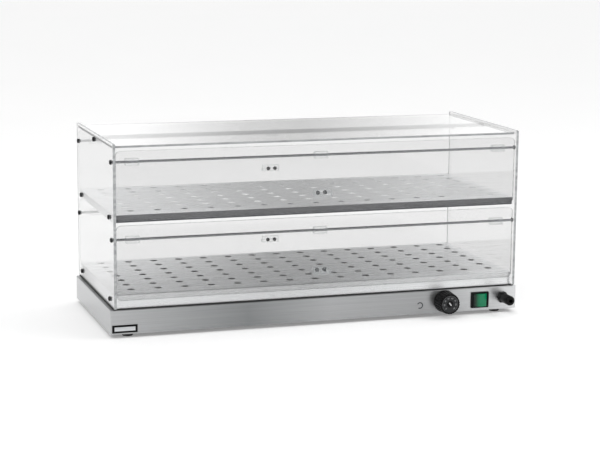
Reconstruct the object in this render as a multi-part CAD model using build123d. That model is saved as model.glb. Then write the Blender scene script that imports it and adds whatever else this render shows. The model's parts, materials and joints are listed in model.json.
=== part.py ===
from build123d import *
from math import atan, degrees
import os

os.makedirs("parts", exist_ok=True)

# Driving dimensions, in millimetres. Z is up, X runs along the front, Y runs to the rear.
# The origin is on the ground, under the middle of the whole object's box.

# Base housing
base_width = 850.0
base_depth = 340.0
base_height = 48.0
foot_height = 8.0
foot_diameter = 24.0
foot_inset_x = 38.0
foot_inset_y = 24.0
sheet = 1.0
fold_radius = 2.0
ledge_width = 34.0
return_width = 14.0
cover_clearance = 0.3
vent_slot_length = 60.0
vent_slot_width = 5.0
vent_pitch_x = 120.0
vent_pitch_y = 22.0
vent_columns = 4
vent_rows = 5

# Feet and the screws of the base
foot_tip_diameter = 21.0
foot_edge = 0.8
foot_recess_diameter = 10.0
foot_recess_depth = 4.5
foot_screw_diameter = 4.0
foot_screw_reach = 9.0
foot_screw_head = 8.0
foot_screw_head_height = 2.6
foot_nut_width = 7.0
foot_nut_height = 3.2
cover_screw_diameter = 3.0
cover_screw_reach = 6.0
cover_screw_head = 6.0
cover_screw_head_height = 2.0
cover_screw_pitch = 380.0

# Seal between the base and the clear case
seal_thickness = 2.0
seal_width = 30.0
seal_side_inset = 6.5
seal_front_inset = 0.5

# Clear case
panel_thickness = 5.0
case_width = 837.0
case_depth = 350.0
case_height = 319.0
panel_corner = 3.0
top_thickness = 4.0
top_drop = 4.5
top_depth = 328.0
top_rest_gap = 0.2

# Perforated sheets
platform_depth = 332.0
platform_flange = 27.0
tier_pitch = 155.0
shelf_flange = 15.0
shelf_depth = 332.0
tray_clearance = 0.3
hole_diameter = 15.0
hole_pitch_x = 54.0
hole_pitch_y = 43.7
hole_columns = 15
hole_rows = 7
hole_shift_x = 4.0
hole_shift_y = 10.0

# Doors
door_thickness = 4.0
door_side_gap = 1.6
door_face_gap = 0.5
door_corner = 9.0
door_drop = 11.0
door_top_gap = 5.5
rod_diameter = 5.0
lower_rod_below_shelf = 49.0
upper_rod_below_top = 27.5
rod_inset = 8.0
rod_fit = 0.05
rod_end_gap = 0.2
block_width = 26.0
block_inset = 20.0
block_wall = 4.5

# Door handles
handle_width = 36.0
handle_height = 13.0
handle_depth = 15.0
handle_foot = 8.0
handle_lip = 5.0
handle_edge = 1.2
handle_above_edge = 38.0
handle_screw_pitch = 15.0
handle_screw_diameter = 3.0
handle_screw_head = 8.0
handle_screw_head_height = 2.4
handle_screw_bite = 6.0

# Side fixings
tie_rod_diameter = 7.0
fixing_diameter = 3.0
fixing_clearance = 0.2
fixing_head_diameter = 9.5
fixing_head_height = 3.2
head_bevel = 0.45
socket_ratio = 0.22
rod_screw_reach = 10.0
rod_thread_depth = 12.0
flange_fixing_reach = 9.0
flange_fixing_inset_y = 30.0
flange_fixing_below_top = 8.0
platform_fixing_below_top = 13.0
nut_width = 5.5
nut_height = 2.4
thread_gap = 0.05

# Thermostat and its knob
knob_from_end = 159.0
control_height = 32.0
knob_diameter = 46.0
knob_tip_diameter = 42.0
knob_length = 31.0
knob_gap = 0.8
knob_flutes = 24
knob_flute_radius = 1.6
knob_grip_start = 5.0
knob_face_rim = 1.5
knob_face_recess = 0.8
knob_hub_diameter = 13.0
knob_back_recess = 6.5
knob_back_diameter = 22.0
shaft_diameter = 6.0
shaft_flat = 1.2
shaft_in_knob = 14.0
shaft_in_body = 10.0
shaft_fit = 0.05
thermostat_width = 40.0
thermostat_height = 34.0
thermostat_depth = 26.0
thermostat_corner = 2.0
bush_diameter = 10.0
bush_length = 5.5
bush_nut_width = 14.0
bush_nut_height = 2.5
bulb_diameter = 6.0
bulb_length = 90.0
bulb_x = 100.0
bulb_y = 20.0
capillary_diameter = 2.0
capillary_bend = 12.0
capillary_run = 30.0
clip_wall = 2.0
clip_width = 8.0
clip_pitch = 60.0

# Rocker switch
rocker_from_end = 81.0
rocker_height = 30.0
bezel_width = 39.0
bezel_height = 33.0
bezel_proud = 3.0
bezel_edge = 1.0
bezel_corner = 2.0
switch_body_width = 35.0
switch_body_height = 30.0
switch_body_depth = 30.0
lens_width = 31.0
lens_height = 26.0
lens_gap = 0.4
lens_tilt = 8.0
lens_pivot_depth = 6.0
lens_crown = 4.5
lens_crown_radius = 28.0
lens_back = 4.0
lens_well_depth = 13.5
pivot_pin_diameter = 2.4
pivot_pin_reach = 1.3
pivot_fit = 0.06

# Cable gland
gland_from_end = 31.0
gland_height = 33.0
gland_diameter = 21.0
gland_tip_diameter = 15.5
gland_length = 44.0
gland_collar = 7.0
gland_nose = 2.0
gland_spigot_diameter = 13.0
gland_spigot_length = 8.0
gland_bore = 8.0
gland_thread_diameter = 16.0
gland_thread_length = 11.0
gland_nut_width = 22.0
gland_nut_height = 5.0

# Heater and wiring parts in the base
reflector_length = 620.0
reflector_depth = 230.0
reflector_edge = 9.0
reflector_sheet = 0.8
reflector_x = -70.0
reflector_height = 20.0
spacer_diameter = 8.0
spacer_inset = 24.0
element_diameter = 6.5
element_spacing = 130.0
element_length = 560.0
element_rise = 15.0
bracket_thickness = 1.2
bracket_foot = 12.0
bracket_margin = 12.0
bracket_count = 3
bracket_pitch = 180.0
bracket_clearance = 0.1
terminal_width = 34.0
terminal_depth = 20.0
terminal_height = 16.0
terminal_from_end = 65.0
terminal_from_front = 100.0
terminal_ways = 3
terminal_bore_diameter = 5.6
terminal_well_depth = 4.0
earth_diameter = 5.0
earth_length = 16.0
earth_from_end = 125.0
earth_from_front = 110.0
earth_nut_width = 8.0
earth_nut_height = 4.0

# Levels and half widths that follow from the driving dimensions
knob_x = base_width / 2 - knob_from_end
rocker_x = base_width / 2 - rocker_from_end
gland_x = base_width / 2 - gland_from_end
terminal_x = base_width / 2 - terminal_from_end
earth_x = base_width / 2 - earth_from_end
knob_taper = degrees(atan((knob_diameter - knob_tip_diameter) / 2 / knob_length))
base_bottom = foot_height
cover_top = base_bottom + sheet
base_top = base_bottom + base_height
case_bottom = base_top + seal_thickness
case_top = case_bottom + case_height
platform_top = case_bottom + platform_flange
shelf_top = platform_top + tier_pitch
case_half = case_width / 2
inner_half = case_half - panel_thickness
tray_width = 2 * (inner_half - tray_clearance)
front_y = -base_depth / 2
wall_back = front_y + sheet
terminal_y = front_y + terminal_from_front
earth_y = front_y + earth_from_front
door_inner = platform_depth / 2 + door_face_gap
door_outer = door_inner + door_thickness
rod_y = door_inner - rod_inset
door_width = 2 * (inner_half - door_side_gap)
top_panel_top = case_top - top_drop
top_panel_under = top_panel_top - top_thickness
tie_rod_level = top_panel_under - top_rest_gap - tie_rod_diameter / 2
reflector_top = reflector_height + reflector_sheet
element_level = reflector_top + element_rise
front_reach = base_depth / 2 + gland_length
rear_reach = door_outer + handle_depth
to_middle = Pos(0, (front_reach - rear_reach) / 2, 0)
low = (Align.CENTER, Align.CENTER, Align.MIN)
tiers = ("lower", "upper")
rod_level = {"lower": shelf_top - lower_rod_below_shelf, "upper": top_panel_under - upper_rod_below_top}
door_bottom = {"lower": platform_top - door_drop, "upper": shelf_top - door_drop}
door_top = {"lower": shelf_top - shelf_flange - door_top_gap, "upper": top_panel_under - door_top_gap}


def save(name, *solids):
    """Write one node, a single solid or a group of them, moved from the base's middle."""
    placed = [to_middle * solid for solid in solids]
    shape = placed[0] if len(placed) == 1 else Compound(children=placed)
    shape.label = name
    export_step(shape, f"parts/{name}.step")


def forward(solid):
    """Turn a solid made along +Z so that it points out of the front, along -Y."""
    return Rot(90, 0, 0) * solid


def rightward(solid):
    """Turn a solid made along +Z so that it points along +X."""
    return Rot(0, 90, 0) * solid


def leftward(solid):
    """Turn a solid made along +Z so that it points along -X."""
    return Rot(0, -90, 0) * solid


def to_side(solid, side):
    """Keep a piece made for the front, or mirror it to the rear."""
    return solid if side < 0 else mirror(solid, about=Plane.XZ)


def round_block(width, depth, height, radius):
    """An upright block with rounded vertical corners, standing on Z = 0."""
    return extrude(RectangleRounded(width, depth, radius), height)


def top_rim(solid):
    """The edges round the top face of a solid."""
    return solid.faces().sort_by(Axis.Z)[-1].edges()


def four_spots(x, y):
    """The four points at plus and minus x and y."""
    return [(sx * x, sy * y) for sx in (-1, 1) for sy in (-1, 1)]


def screw(diameter, reach, head_diameter, head_height):
    """A round-headed socket screw: its head below Z = 0, its shank up to Z = reach."""
    head = Pos(0, 0, -head_height) * Cylinder(head_diameter / 2, head_height, align=low)
    head = chamfer(head.edges().sort_by(Axis.Z)[0], head_height * head_bevel)
    socket = Pos(0, 0, -head_height) * extrude(RegularPolygon(head_diameter * socket_ratio, 6), head_height / 2)
    return head - socket + Cylinder(diameter / 2, reach, align=low)


def hex_nut(width, height, bore):
    """A hexagon nut standing on Z = 0, given by its width across flats."""
    return extrude(RegularPolygon(width / 2, 6, major_radius=False) - Circle(bore / 2), height)


# Folded sheet metal

def folded_tray(depth, flange):
    """A perforated sheet with its four edges folded down, its top face on Z = 0."""
    outside = Pos(0, 0, -flange) * round_block(tray_width, depth, flange, fold_radius)
    outside = fillet(top_rim(outside), fold_radius)
    inside_radius = fold_radius - sheet
    room = round_block(tray_width - 2 * sheet, depth - 2 * sheet, flange, inside_radius)
    punched = GridLocations(hole_pitch_x, hole_pitch_y, hole_columns, hole_rows)
    holes = Sketch() + punched * Circle(hole_diameter / 2)
    punches = extrude(holes, 2 * sheet, both=True)
    return outside - Pos(0, 0, -flange - sheet) * room - Pos(hole_shift_x, hole_shift_y, 0) * punches


def make_tray(depth, flange, below_top, level):
    tray = folded_tray(depth, flange)
    drill = Cylinder(fixing_diameter / 2 + fixing_clearance, 2 * case_half)
    y = depth / 2 - flange_fixing_inset_y
    for side in (-1, 1):
        tray -= Pos(0, side * y, -below_top) * rightward(drill)
    return Pos(0, 0, level) * tray


def make_base_housing():
    """The stainless base: four walls, a ledge round the top and a return under the bottom."""
    width, depth = base_width - 2 * sheet, base_depth - 2 * sheet
    corner = fold_radius - sheet
    housing = fillet(top_rim(round_block(base_width, base_depth, base_height, fold_radius)), fold_radius)
    housing -= round_block(width, depth, sheet, corner)
    housing -= Pos(0, 0, 2 * sheet) * round_block(width, depth, base_height - 3 * sheet, corner)
    housing -= Box(base_width - 2 * return_width, base_depth - 2 * return_width, base_height)
    housing -= Box(base_width - 2 * ledge_width, base_depth - 2 * ledge_width, 3 * base_height)
    housing = Pos(0, 0, base_bottom) * housing
    for x, z, diameter in ((knob_x, control_height, bush_diameter),
                           (gland_x, gland_height, gland_thread_diameter)):
        drill = Cylinder(diameter / 2 + cover_clearance, 6 * sheet)
        housing -= Pos(x, front_y, z) * forward(drill)
    cut_out = Box(switch_body_width + 2 * cover_clearance, 6 * sheet,
                  switch_body_height + 2 * cover_clearance)
    housing -= Pos(rocker_x, front_y, rocker_height) * cut_out
    for x, y in cover_screw_spots():
        housing -= Pos(x, y, cover_top) * Cylinder(cover_screw_diameter / 2 + fixing_clearance, 4 * sheet)
    return housing


def foot_spots():
    return four_spots(base_width / 2 - foot_inset_x, base_depth / 2 - foot_inset_y)


def cover_screw_spots():
    return four_spots(cover_screw_pitch / 2, base_depth / 2 - sheet - return_width / 2)


def make_bottom_cover():
    """The flat cover that closes the base from below, with rows of air slots."""
    width = base_width - 2 * sheet - 2 * cover_clearance
    depth = base_depth - 2 * sheet - 2 * cover_clearance
    cover = round_block(width, depth, sheet, fold_radius - sheet)
    grid = GridLocations(vent_pitch_x, vent_pitch_y, vent_columns, vent_rows)
    slots = Sketch() + grid * SlotOverall(vent_slot_length, vent_slot_width)
    cover -= Pos(reflector_x, 0, 0) * extrude(slots, 3 * sheet, both=True)
    for diameter, spots in ((foot_screw_diameter, foot_spots()), (cover_screw_diameter, cover_screw_spots())):
        for x, y in spots:
            cover -= Pos(x, y, 0) * Cylinder(diameter / 2 + fixing_clearance, 4 * sheet)
    return Pos(0, 0, base_bottom) * cover


def make_foot():
    """A rubber foot, a little narrower at the ground, with a recess for its screw."""
    foot = Cone(foot_tip_diameter / 2, foot_diameter / 2, foot_height, align=low)
    foot = chamfer(foot.edges().sort_by(Axis.Z)[0], foot_edge)
    foot -= Cylinder(foot_recess_diameter / 2, foot_recess_depth, align=low)
    return foot - Cylinder(foot_screw_diameter / 2 + fixing_clearance, 3 * foot_height)


def make_seal():
    """The thin black strip between the base and all that stands on it."""
    width, depth = base_width - 2 * seal_side_inset, base_depth - 2 * seal_front_inset
    ring = Rectangle(width, depth) - Rectangle(width - 2 * seal_width, depth - 2 * seal_width)
    return Pos(0, 0, base_top) * extrude(ring, seal_thickness)


# Clear case

def side_fixing_spots():
    """Where screws pass through a side panel: (y, z, what they hold)."""
    spots = [(0.0, tie_rod_level, "rod")]
    for level in rod_level.values():
        spots += [(side * rod_y, level, "rod") for side in (-1, 1)]
    for depth, level, below in ((shelf_depth, shelf_top, flange_fixing_below_top),
                                (platform_depth, platform_top, platform_fixing_below_top)):
        y = depth / 2 - flange_fixing_inset_y
        spots += [(side * y, level - below, "flange") for side in (-1, 1)]
    return spots


def make_side_panel(side):
    panel = Pos(0, 0, -panel_thickness / 2) * round_block(
        case_height, case_depth, panel_thickness, panel_corner)
    panel = Pos(side * (case_half - panel_thickness / 2), 0, case_bottom + case_height / 2) \
        * rightward(panel)
    for y, z, _ in side_fixing_spots():
        drill = Cylinder(fixing_diameter / 2 + fixing_clearance, 3 * panel_thickness)
        panel -= Pos(side * case_half, y, z) * rightward(drill)
    return panel


def make_side_screws(side):
    """The black screws of one side: five into the rods and four into the tray flanges."""
    screws = []
    for y, z, target in side_fixing_spots():
        grip = rod_screw_reach if target == "rod" else flange_fixing_reach
        one = screw(fixing_diameter, panel_thickness + grip, fixing_head_diameter, fixing_head_height)
        one = rightward(one) if side < 0 else leftward(one)
        screws.append(Pos(side * case_half, y, z) * one)
    return screws


def make_flange_nuts():
    nuts = []
    seat = inner_half - tray_clearance - sheet
    for y, z, target in side_fixing_spots():
        if target == "flange":
            one = hex_nut(nut_width, nut_height, fixing_diameter + 2 * thread_gap)
            nuts.append(Pos(-seat, y, z) * rightward(one))
            nuts.append(Pos(seat, y, z) * leftward(one))
    return nuts


def make_rod(diameter, y, z):
    """A round rod between the side panels, tapped at both ends."""
    length = 2 * (inner_half - rod_end_gap)
    rod = Cylinder(diameter / 2, length)
    tap = Cylinder(fixing_diameter / 2 + thread_gap, rod_thread_depth, align=low)
    rod -= Pos(0, 0, -length / 2) * tap
    rod -= Pos(0, 0, length / 2 - rod_thread_depth) * tap
    return Pos(0, y, z) * rightward(rod)


def make_top_panel():
    return Pos(0, 0, top_panel_under) * round_block(2 * inner_half, top_depth, top_thickness, sheet)


# Doors, made for the front and mirrored for the rear

def handle_drills(tier, diameter, length):
    level = door_bottom[tier] + handle_above_edge
    drill = forward(Cylinder(diameter / 2, length, align=low))
    return [Pos(side * handle_screw_pitch / 2, -door_inner, level) * drill for side in (-1, 1)]


def make_door(tier):
    """A clear sheet with rounded corners and two holes for the screws of its handle."""
    height = door_top[tier] - door_bottom[tier]
    door = forward(extrude(RectangleRounded(door_width, height, door_corner), door_thickness))
    door = Pos(0, -door_inner, door_bottom[tier] + height / 2) * door
    for drill in handle_drills(tier, handle_screw_diameter + 2 * fixing_clearance, 2 * door_thickness):
        door -= drill
    return door


def make_hinge_blocks(tier):
    """Clear blocks bonded inside a door, each with an eye that turns on the rod."""
    eye = rod_diameter / 2 + block_wall
    profile = Circle(eye) + Pos(-rod_inset / 2, 0) * Rectangle(rod_inset, 2 * eye)
    profile -= Pos(-rod_inset - eye, 0) * Rectangle(2 * eye, 4 * eye)
    profile -= Circle(rod_diameter / 2 + rod_fit)
    block = extrude(Plane.YZ * profile, block_width / 2, both=True)
    x = door_width / 2 - block_inset - block_width / 2
    return [Pos(place, -rod_y, rod_level[tier]) * block for place in (-x, 0.0, x)]


def make_handle(tier):
    """A clear pull: a foot on the door and, below, a lip that stands out from it."""
    half, foot, lip = handle_height / 2, -handle_foot, -handle_depth
    profile = Polyline((0, -half), (lip, -half), (lip, handle_lip - half), (foot, handle_lip - half),
                       (foot, half), (0, half), close=True)
    grip = extrude(Plane.YZ * make_face(profile), handle_width / 2, both=True)
    grip = fillet(grip.faces().sort_by(Axis.Y)[0].edges(), handle_edge)
    grip = Pos(0, -door_outer, door_bottom[tier] + handle_above_edge) * grip
    reach = door_thickness + handle_screw_bite
    for drill in handle_drills(tier, handle_screw_diameter + 2 * thread_gap, reach + thread_gap):
        grip -= drill
    return grip


def make_handle_screws(tier):
    """Two screws from inside the door into its handle."""
    one = screw(handle_screw_diameter, door_thickness + handle_screw_bite,
                handle_screw_head, handle_screw_head_height)
    level = door_bottom[tier] + handle_above_edge
    return [Pos(side * handle_screw_pitch / 2, -door_inner, level) * forward(one) for side in (-1, 1)]


# Thermostat, switch and cable inlet

def make_thermostat_body():
    """The control behind the front wall, with its threaded bush through the wall."""
    body = Pos(0, thermostat_depth / 2, 0) * Box(thermostat_width, thermostat_depth, thermostat_height)
    body = fillet(body.edges().filter_by(Axis.Y), thermostat_corner)
    body += forward(Cylinder(bush_diameter / 2, sheet + bush_length, align=low))
    bore = Cylinder(shaft_diameter / 2 + shaft_fit, 2 * (shaft_in_body + shaft_fit))
    body -= forward(bore)
    body -= Pos(0, -sheet - bush_length, 0) * forward(bore)
    return Pos(knob_x, wall_back, control_height) * body


def make_thermostat_nut():
    nut = hex_nut(bush_nut_width, bush_nut_height, bush_diameter + 2 * thread_gap)
    return Pos(knob_x, front_y, control_height) * forward(nut)


def shaft_flat_cut(length, gap):
    """What the flat takes off the shaft's end, standing on Z = 0."""
    edge = shaft_diameter / 2 - shaft_flat + gap
    return Pos(0, edge + shaft_diameter / 2, 0) * Box(2 * shaft_diameter, shaft_diameter, length, align=low)


def make_thermostat_shaft():
    back = shaft_in_body
    front = sheet + knob_gap + knob_back_recess + shaft_in_knob
    shaft = Pos(0, 0, -back) * Cylinder(shaft_diameter / 2, back + front, align=low)
    shaft -= Pos(0, 0, front - shaft_in_knob) * shaft_flat_cut(shaft_in_knob, 0.0)
    return Pos(knob_x, wall_back, control_height) * forward(shaft)


def make_knob():
    """A fluted knob with a dished dial face, hollow at the back over the bush nut."""
    knob = Cone(knob_diameter / 2, knob_tip_diameter / 2, knob_length, align=low)
    knob = chamfer(top_rim(knob), knob_face_rim / 2)
    flute = Rot(0, -knob_taper, 0) * Pos(0, 0, knob_grip_start) * Cylinder(
        knob_flute_radius, 2 * knob_length, align=low)
    ring = PolarLocations(knob_diameter / 2, knob_flutes)
    knob -= Compound(children=[spot * flute for spot in ring.locations])
    dish = Circle(knob_tip_diameter / 2 - knob_face_rim - knob_flute_radius) - Circle(knob_hub_diameter / 2)
    knob -= Pos(0, 0, knob_length - knob_face_recess) * extrude(dish, 2 * knob_face_recess)
    knob -= Cylinder(knob_back_diameter / 2, knob_back_recess, align=low)
    socket = Cylinder(shaft_diameter / 2 + shaft_fit, shaft_in_knob + 2 * shaft_fit, align=low)
    socket -= shaft_flat_cut(shaft_in_knob + 4 * shaft_fit, shaft_fit)
    knob -= Pos(0, 0, knob_back_recess) * socket
    return Pos(knob_x, front_y - knob_gap, control_height) * forward(knob)


def bulb_level():
    return platform_top - sheet - clip_wall - bulb_diameter / 2


def make_sensor_bulb():
    """The sensing bulb under the platform with the thin tube that joins it to the control."""
    end = (bulb_x + bulb_length / 2, bulb_y, bulb_level())
    start = (knob_x, wall_back + thermostat_depth, control_height)
    rise = (knob_x, start[1] + capillary_run, control_height)
    above = (knob_x, rise[1], end[2])
    turn = (knob_x, bulb_y, end[2])
    path = FilletPolyline(start, rise, above, turn, end, radius=capillary_bend)
    tube = sweep(Plane(origin=start, z_dir=(0, 1, 0)) * Circle(capillary_diameter / 2), path=path)
    bulb = Pos(bulb_x, bulb_y, bulb_level()) * rightward(Cylinder(bulb_diameter / 2, bulb_length))
    return bulb + tube


def make_sensor_clips():
    """Two small clips that hold the bulb up against the platform."""
    outer = bulb_diameter / 2 + clip_wall
    profile = Circle(outer) + Pos(0, outer / 2) * Rectangle(2 * outer, outer)
    profile -= Circle(bulb_diameter / 2 + bracket_clearance)
    clip = extrude(Plane.YZ * profile, clip_width / 2, both=True)
    return [Pos(bulb_x + side * clip_pitch / 2, bulb_y, bulb_level()) * clip for side in (-1, 1)]


def make_switch_housing():
    """The bezel in front of the wall and the body behind it, with a well for the rocker."""
    bezel = extrude(RectangleRounded(bezel_width, bezel_height, bezel_corner), bezel_proud)
    bezel = fillet(top_rim(bezel), bezel_edge)
    housing = bezel + Pos(0, 0, -switch_body_depth) * Box(
        switch_body_width, switch_body_height, switch_body_depth, align=low)
    well = Box(lens_width + 2 * lens_gap, lens_height + 2 * lens_gap, lens_well_depth, align=low)
    housing -= Pos(0, 0, bezel_proud - lens_well_depth) * well
    seat = Cylinder(pivot_pin_diameter / 2 + pivot_fit,
                    lens_height + 2 * (pivot_pin_reach + pivot_fit))
    housing -= Pos(0, 0, bezel_proud - lens_pivot_depth) * Rot(90, 0, 0) * seat
    return Pos(rocker_x, front_y, rocker_height) * forward(housing)


def make_rocker():
    """The green rocker: crowned in front, round at its sides about the upright pivot."""
    top = lens_pivot_depth + lens_crown
    profile = Circle(lens_width / 2) & Pos(0, top - lens_crown_radius) * Circle(lens_crown_radius)
    profile -= Pos(0, -lens_back - lens_width / 2) * Rectangle(2 * lens_width, lens_width)
    lens = extrude(profile, lens_height / 2, both=True)
    lens += Cylinder(pivot_pin_diameter / 2, lens_height + 2 * pivot_pin_reach)
    lens = Rot(0, 0, 180 - lens_tilt) * lens
    return Pos(rocker_x, front_y - bezel_proud + lens_pivot_depth, rocker_height) * lens


def make_gland_body():
    """The threaded tube through the wall, its hexagon collar and the spigot of the boot."""
    body = extrude(RegularPolygon(gland_diameter / 2, 6, major_radius=False), gland_collar)
    body += Pos(0, 0, -gland_thread_length) * Cylinder(
        gland_thread_diameter / 2, gland_thread_length, align=low)
    body += Pos(0, 0, gland_collar) * Cylinder(gland_spigot_diameter / 2, gland_spigot_length, align=low)
    body -= Cylinder(gland_bore / 2, 4 * gland_length)
    return Pos(gland_x, front_y, gland_height) * forward(body)


def make_gland_boot():
    """The tapered boot over the spigot, with its bore open at the tip."""
    length = gland_length - gland_collar
    boot = Cone(gland_diameter / 2, gland_tip_diameter / 2, length, align=low)
    boot = chamfer(boot.edges().sort_by(Axis.Z)[-1], gland_nose)
    boot -= Cylinder(gland_spigot_diameter / 2 + thread_gap, gland_spigot_length + thread_gap, align=low)
    boot -= Cylinder(gland_bore / 2, 4 * gland_length)
    return Pos(gland_x, front_y - gland_collar, gland_height) * forward(boot)


def make_gland_nut():
    nut = hex_nut(gland_nut_width, gland_nut_height, gland_thread_diameter + 2 * thread_gap)
    return Pos(gland_x, wall_back + gland_nut_height, gland_height) * forward(nut)


# Heater and wiring parts in the base

def spacer_spots():
    spots = four_spots(reflector_length / 2 - spacer_inset, reflector_depth / 2 - spacer_inset)
    return [(reflector_x + x, y) for x, y in spots]


def make_reflector():
    """A bright shallow tray under the heating element."""
    tray = round_block(reflector_length, reflector_depth, reflector_edge, fold_radius)
    tray -= Pos(0, 0, reflector_sheet) * round_block(
        reflector_length - 2 * reflector_sheet, reflector_depth - 2 * reflector_sheet,
        reflector_edge, fold_radius - reflector_sheet)
    return Pos(reflector_x, 0, reflector_height) * tray


def make_spacers():
    spacer = Cylinder(spacer_diameter / 2, reflector_height - cover_top, align=low)
    return [Pos(x, y, cover_top) * spacer for x, y in spacer_spots()]


def make_element():
    """The tubular heating element: two straight legs and a half-round bend."""
    radius = element_spacing / 2
    right = reflector_x + element_length / 2
    bend = reflector_x - element_length / 2 + radius
    path = Line((right, -radius), (bend, -radius)) + ThreePointArc(
        (bend, -radius), (bend - radius, 0), (bend, radius)) + Line((bend, radius), (right, radius))
    start = Plane(origin=(right, -radius, 0), z_dir=(-1, 0, 0))
    return Pos(0, 0, element_level) * sweep(start * Circle(element_diameter / 2), path=path)


def make_brackets():
    """Folded brackets that hold both legs of the element above the reflector."""
    width = element_spacing + 2 * bracket_margin
    height = element_rise + bracket_margin / 2
    upright = Box(bracket_thickness, width, height, align=low)
    for side in (-1, 1):
        eye = Cylinder(element_diameter / 2 + bracket_clearance, 4 * bracket_thickness)
        upright -= Pos(0, side * element_spacing / 2, element_rise) * rightward(eye)
    foot = Pos((bracket_foot - bracket_thickness) / 2, 0, 0) * Box(
        bracket_foot, width, bracket_thickness, align=low)
    bracket = upright + foot
    middle = (bracket_count - 1) / 2
    return [Pos(reflector_x + (index - middle) * bracket_pitch, 0, reflector_top) * bracket
            for index in range(bracket_count)]


def make_terminal_block():
    """The connector strip where the supply meets the inner wires."""
    block = round_block(terminal_width, terminal_depth, terminal_height, sheet)
    way = terminal_width / terminal_ways
    for index in range(terminal_ways):
        x = (index - (terminal_ways - 1) / 2) * way
        wire_bore = Cylinder(terminal_bore_diameter / 2, 2 * terminal_depth)
        block -= Pos(x, 0, terminal_height / 2) * forward(wire_bore)
        block -= Pos(x, 0, terminal_height) * Cylinder(terminal_bore_diameter / 2, 2 * terminal_well_depth)
    return Pos(terminal_x, terminal_y, cover_top) * block


def make_earth_stud():
    return Pos(earth_x, earth_y, cover_top) * Cylinder(earth_diameter / 2, earth_length, align=low)


def make_earth_nut():
    nut = hex_nut(earth_nut_width, earth_nut_height, earth_diameter + 2 * thread_gap)
    return Pos(earth_x, earth_y, cover_top) * nut


save("base_housing", make_base_housing())
save("bottom_cover", make_bottom_cover())
save("cover_screws", *[Pos(x, y, base_bottom) * screw(
    cover_screw_diameter, cover_screw_reach, cover_screw_head, cover_screw_head_height)
    for x, y in cover_screw_spots()])
save("feet", *[Pos(x, y, 0) * make_foot() for x, y in foot_spots()])
save("foot_screws", *[Pos(x, y, foot_recess_depth) * screw(
    foot_screw_diameter, foot_screw_reach, foot_screw_head, foot_screw_head_height)
    for x, y in foot_spots()])
save("foot_nuts", *[Pos(x, y, cover_top) * hex_nut(
    foot_nut_width, foot_nut_height, foot_screw_diameter + 2 * thread_gap) for x, y in foot_spots()])
save("base_seal", make_seal())
save("platform", make_tray(platform_depth, platform_flange, platform_fixing_below_top, platform_top))
save("shelf", make_tray(shelf_depth, shelf_flange, flange_fixing_below_top, shelf_top))
save("side_panel_left", make_side_panel(-1))
save("side_panel_right", make_side_panel(1))
save("top_panel", make_top_panel())
save("tie_rod", make_rod(tie_rod_diameter, 0.0, tie_rod_level))
save("side_screws_left", *make_side_screws(-1))
save("side_screws_right", *make_side_screws(1))
save("flange_nuts", *make_flange_nuts())
for place, hand in (("front", -1), ("rear", 1)):
    for tier in tiers:
        name = f"{place}_{tier}"
        save(f"{name}_hinge_rod", make_rod(rod_diameter, hand * rod_y, rod_level[tier]))
        save(f"{name}_door", to_side(make_door(tier), hand))
        save(f"{name}_hinge_blocks", *[to_side(one, hand) for one in make_hinge_blocks(tier)])
        save(f"{name}_handle", to_side(make_handle(tier), hand))
        save(f"{name}_handle_screws", *[to_side(one, hand) for one in make_handle_screws(tier)])
save("thermostat_body", make_thermostat_body())
save("thermostat_nut", make_thermostat_nut())
save("thermostat_shaft", make_thermostat_shaft())
save("thermostat_knob", make_knob())
save("sensor_bulb", make_sensor_bulb())
save("sensor_clips", *make_sensor_clips())
save("switch_housing", make_switch_housing())
save("rocker_button", make_rocker())
save("gland_body", make_gland_body())
save("gland_boot", make_gland_boot())
save("gland_nut", make_gland_nut())
save("heat_reflector", make_reflector())
save("reflector_spacers", *make_spacers())
save("heating_element", make_element())
save("element_brackets", *make_brackets())
save("terminal_block", make_terminal_block())
save("earth_stud", make_earth_stud())
save("earth_nut", make_earth_nut())
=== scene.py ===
# %% [markdown]
# A heated display case, dressed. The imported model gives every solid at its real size, and this
# script gives it finishes, finer small parts, light and a camera. All lengths are metres, and a
# size that is easier to read in millimetres is multiplied by MM.

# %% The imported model, which stays as it is
import json
import math

import bmesh
import bpy
from mathutils import Matrix, Vector


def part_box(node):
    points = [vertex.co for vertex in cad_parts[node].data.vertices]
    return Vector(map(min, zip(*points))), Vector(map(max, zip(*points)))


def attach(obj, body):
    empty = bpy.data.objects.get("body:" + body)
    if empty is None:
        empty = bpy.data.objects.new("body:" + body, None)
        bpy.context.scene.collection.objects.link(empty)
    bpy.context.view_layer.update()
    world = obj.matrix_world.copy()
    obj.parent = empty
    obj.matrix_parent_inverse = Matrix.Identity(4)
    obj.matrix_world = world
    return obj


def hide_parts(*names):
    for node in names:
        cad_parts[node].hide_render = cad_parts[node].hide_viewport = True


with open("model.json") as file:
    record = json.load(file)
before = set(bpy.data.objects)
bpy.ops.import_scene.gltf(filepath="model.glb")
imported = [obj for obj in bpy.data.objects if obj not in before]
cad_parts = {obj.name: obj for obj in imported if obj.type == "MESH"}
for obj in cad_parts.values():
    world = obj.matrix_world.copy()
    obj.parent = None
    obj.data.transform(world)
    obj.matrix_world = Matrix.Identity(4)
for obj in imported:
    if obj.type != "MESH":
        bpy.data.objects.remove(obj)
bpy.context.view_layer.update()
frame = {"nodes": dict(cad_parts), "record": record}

MM = 0.001
nodes = frame["nodes"]

# %% [markdown]
# The camera comes first, because everything after it is judged through it. It stands about three
# and a half metres away with a long lens, as a product photographer would, which keeps the upright
# edges nearly parallel. Its place and its three turns come from the object's own grid of holes.

# %% The camera
CAMERA_PLACE = (-1.1072, -3.3945, 0.8249)
LOOK_RIGHT = math.radians(18.1625)
LOOK_DOWN = math.radians(10.3174)
LOOK_ROLL = math.radians(0.4906)
LENS_MM = 105.82
VIEW_END = 100.0

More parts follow.
